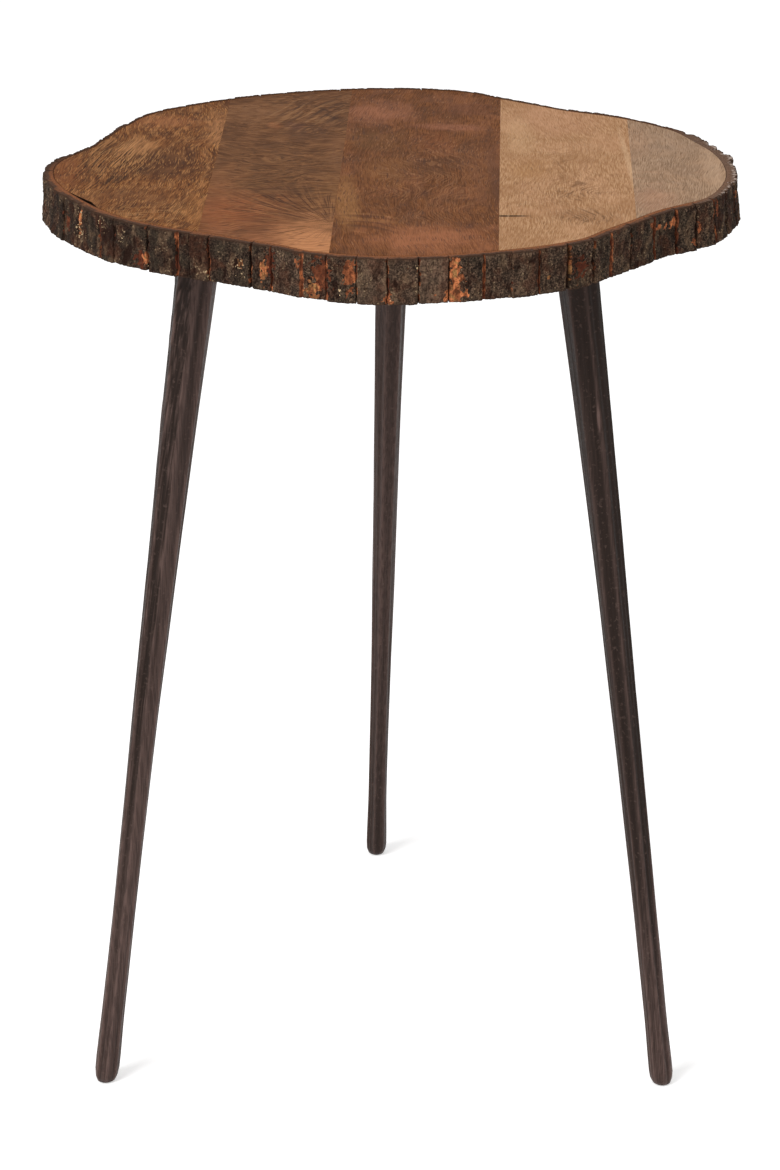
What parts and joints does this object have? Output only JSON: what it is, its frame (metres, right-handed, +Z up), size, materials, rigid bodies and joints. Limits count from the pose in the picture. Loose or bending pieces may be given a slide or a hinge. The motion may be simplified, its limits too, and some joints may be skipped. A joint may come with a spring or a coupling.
{
  "type": "accent table",
  "caption": "Free-form oval side table: an edge-glued hardwood top with a kerfed bark rim, on splayed tapered cast-metal legs bolted to plates under the top.",
  "frame": {"origin": "on the floor, under the middle of the whole table's box", "axes": "+Z up, -Y towards the front as pictured, with two legs in front and one behind; +X to the right"},
  "size_m": [0.4408, 0.3984, 0.61],
  "materials": {
    "plank_1": "golden brown hardwood with dark flecks, satin lacquer",
    "plank_2": "umber to reddish hardwood, satin lacquer",
    "plank_3": "reddish-brown hardwood, satin lacquer",
    "plank_4": "pale tan hardwood, satin lacquer",
    "plank_5": "greyish tan hardwood, satin lacquer",
    "bark": "rough charcoal-brown tree bark with rust-orange inner bark",
    "dowel": "plain unfinished hardwood dowel",
    "leg": "casting with a satin dark bronze-brown patina",
    "plate": "plain mild-steel plate",
    "fastener": "zinc-plated steel"
  },
  "bodies": {
    "root": {"plank_1": "plank_1", "plank_2": "plank_2", "plank_3": "plank_3", "plank_4": "plank_4", "plank_5": "plank_5", "bark_01": "bark", "bark_02": "bark", "bark_03": "bark", "bark_04": "bark", "bark_05": "bark", "bark_06": "bark", "bark_07": "bark", "bark_08": "bark", "bark_09": "bark", "bark_10": "bark", "bark_11": "bark", "bark_12": "bark", "bark_13": "bark", "bark_14": "bark", "bark_15": "bark", "bark_16": "bark", "bark_17": "bark", "bark_18": "bark", "bark_19": "bark", "bark_20": "bark", "bark_21": "bark", "bark_22": "bark", "dowel_1_front": "dowel", "dowel_1_back": "dowel", "dowel_2_front": "dowel", "dowel_2_back": "dowel", "dowel_3_front": "dowel", "dowel_3_back": "dowel", "dowel_4_front": "dowel", "dowel_4_back": "dowel", "leg_left": "leg", "leg_right": "leg", "leg_back": "leg", "leg_plate_left": "plate", "leg_plate_right": "plate", "leg_plate_back": "plate", "leg_bolt_left": "fastener", "leg_bolt_right": "fastener", "leg_bolt_back": "fastener", "plate_screw_left_1": "fastener", "plate_screw_left_2": "fastener", "plate_screw_left_3": "fastener", "plate_screw_right_1": "fastener", "plate_screw_right_2": "fastener", "plate_screw_right_3": "fastener", "plate_screw_back_1": "fastener", "plate_screw_back_2": "fastener", "plate_screw_back_3": "fastener"}
  },
  "joints": []
}
